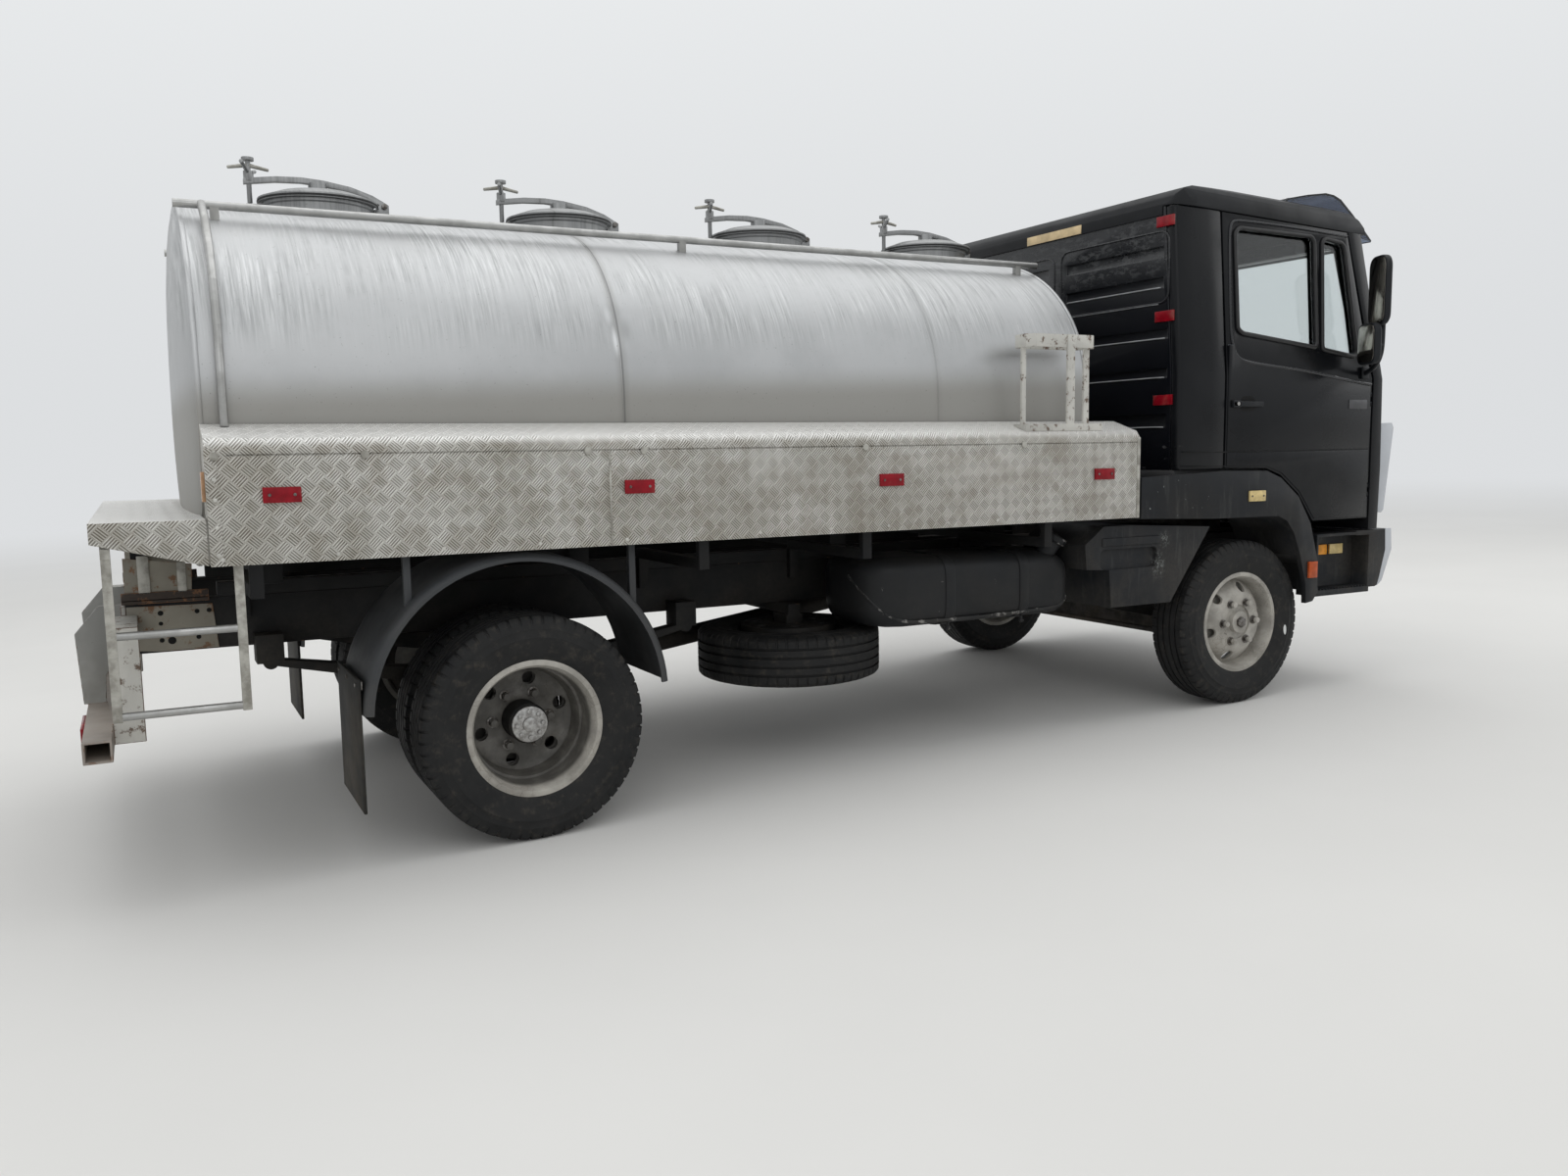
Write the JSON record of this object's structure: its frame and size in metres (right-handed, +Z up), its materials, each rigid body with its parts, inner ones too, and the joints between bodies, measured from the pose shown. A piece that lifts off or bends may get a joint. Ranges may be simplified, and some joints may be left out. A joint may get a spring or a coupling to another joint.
{
  "type": "tanker truck",
  "caption": "Two-axle tanker truck with a dark day cab, oval stainless tank under hinged filling lids, tread-plate side lockers, rear step and underrun beam.",
  "frame": {"origin": "centre of the bounding box's bottom face, on the ground between the wheels", "axes": "+X forward along the truck, +Y to its left, +Z up"},
  "size_m": [5.9088, 2.5912, 2.4772],
  "materials": {
    "dark_paint": "faded satin",
    "stainless": "brushed",
    "tread_plate": "embossed, dusty",
    "bare_steel": "weathered",
    "white_paint": "chipped, rusty",
    "frame_black": "dusty matt",
    "light_grey": "satin",
    "rubber": "worn",
    "flap_rubber": "dusty",
    "wheel_grey": "dusty satin",
    "moulding": "faded",
    "clear_glass": "clear",
    "smoked": "smoked",
    "red_lens": "reflex",
    "amber_lens": "clear amber",
    "cab_trim": "woven",
    "cast_metal": "dirty"
  },
  "bodies": {
    "chassis": {"frame_rails": "frame_black", "crossmembers": "frame_black", "engine_gearbox": "cast_metal", "drive_shaft": "frame_black", "silencer": "cast_metal", "air_tanks": "frame_black", "rear_axle": "cast_metal", "leaf_springs": "frame_black", "front_axle": "cast_metal", "spare_tyre": "rubber", "spare_rim": "frame_black", "fuel_tank": "frame_black", "cab_posts": "dark_paint", "cab_rear_wall": "dark_paint", "cab_roof": "dark_paint", "cab_front": "dark_paint", "windscreen": "clear_glass", "cab_floor": "dark_paint", "dashboard": "moulding", "seats": "cab_trim", "sun_visor": "smoked", "front_bumper": "moulding", "grille": "light_grey", "front_wings": "moulding", "wheel_boxes": "moulding", "tank_shell": "stainless", "tank_cradle": "frame_black", "top_rails": "stainless", "side_lockers": "tread_plate", "rear_platform": "tread_plate", "ladder": "bare_steel", "deck_hoop": "white_paint", "rear_bumper": "white_paint", "rear_mudguards": "moulding", "mudflaps": "flap_rubber", "reflectors": "red_lens", "lamps": "amber_lens"},
    "door_left": {"door_left": "dark_paint", "door_glass_left": "clear_glass", "mirror_left": "moulding"},
    "door_right": {"door_right": "dark_paint", "door_glass_right": "clear_glass", "mirror_right": "moulding"},
    "knuckle_left": {"knuckle_left": "cast_metal"},
    "knuckle_right": {"knuckle_right": "cast_metal"},
    "tie_rod": {"tie_rod": "cast_metal"},
    "front_wheel_left": {"front_tyre_left": "rubber", "front_rim_left": "wheel_grey"},
    "front_wheel_right": {"front_tyre_right": "rubber", "front_rim_right": "wheel_grey"},
    "rear_wheels_left": {"rear_tyres_left": "rubber", "rear_rims_left": "wheel_grey"},
    "rear_wheels_right": {"rear_tyres_right": "rubber", "rear_rims_right": "wheel_grey"},
    "lid_1": {"lid_1": "stainless"},
    "lid_2": {"lid_2": "stainless"},
    "lid_3": {"lid_3": "stainless"},
    "lid_4": {"lid_4": "stainless"}
  },
  "joints": [
    {"name": "steer_left", "type": "hinge", "parent": "chassis", "child": "knuckle_left", "pos_m": [1.89909, 0.83, 0.395], "axis": [0, 0, 1], "range_deg": [-30, 30]},
    {"name": "steer_right", "type": "hinge", "parent": "chassis", "child": "knuckle_right", "pos_m": [1.89909, -0.83, 0.395], "axis": [0, 0, 1], "range_deg": [-30, 30]},
    {"name": "tie_rod_pivot", "type": "hinge", "parent": "knuckle_left", "child": "tie_rod", "pos_m": [1.7091, 0.804, 0.332], "axis": [0, 0, 1], "range_deg": [-30, 30]},
    {"name": "front_wheel_left_spin", "type": "hinge", "parent": "knuckle_left", "child": "front_wheel_left", "pos_m": [1.89909, 0.927, 0.395], "axis": [0, 1, 0], "continuous": true},
    {"name": "front_wheel_right_spin", "type": "hinge", "parent": "knuckle_right", "child": "front_wheel_right", "pos_m": [1.89909, -0.927, 0.395], "axis": [0, 1, 0], "continuous": true},
    {"name": "rear_wheels_left_spin", "type": "hinge", "parent": "chassis", "child": "rear_wheels_left", "pos_m": [-1.58004, 0.819, 0.395], "axis": [0, 1, 0], "continuous": true},
    {"name": "rear_wheels_right_spin", "type": "hinge", "parent": "chassis", "child": "rear_wheels_right", "pos_m": [-1.58004, -0.819, 0.395], "axis": [0, 1, 0], "continuous": true},
    {"name": "door_left_hinge", "type": "hinge", "parent": "chassis", "child": "door_left", "pos_m": [2.73688, 1.06, 1.19682], "axis": [-0.0256, 0, -0.9997], "range_deg": [0, 70]},
    {"name": "door_right_hinge", "type": "hinge", "parent": "chassis", "child": "door_right", "pos_m": [2.73688, -1.06, 1.19682], "axis": [0.0256, 0, 0.9997], "range_deg": [0, 70]},
    {"name": "lid_1_hinge", "type": "hinge", "parent": "chassis", "child": "lid_1", "pos_m": [-1.7639, 0, 2.31833], "axis": [0, 1, 0], "range_deg": [0, 105]},
    {"name": "lid_2_hinge", "type": "hinge", "parent": "chassis", "child": "lid_2", "pos_m": [-0.80821, 0, 2.29387], "axis": [0, 1, 0], "range_deg": [0, 105]},
    {"name": "lid_3_hinge", "type": "hinge", "parent": "chassis", "child": "lid_3", "pos_m": [0.13648, 0, 2.2697], "axis": [0, 1, 0], "range_deg": [0, 105]},
    {"name": "lid_4_hinge", "type": "hinge", "parent": "chassis", "child": "lid_4", "pos_m": [1.06318, 0, 2.24598], "axis": [0, 1, 0], "range_deg": [0, 105]}
  ],
  "couplings": [
    {"joint": "steer_right", "follows": "steer_left", "ratio": 1},
    {"joint": "tie_rod_pivot", "follows": "steer_left", "ratio": -1}
  ]
}
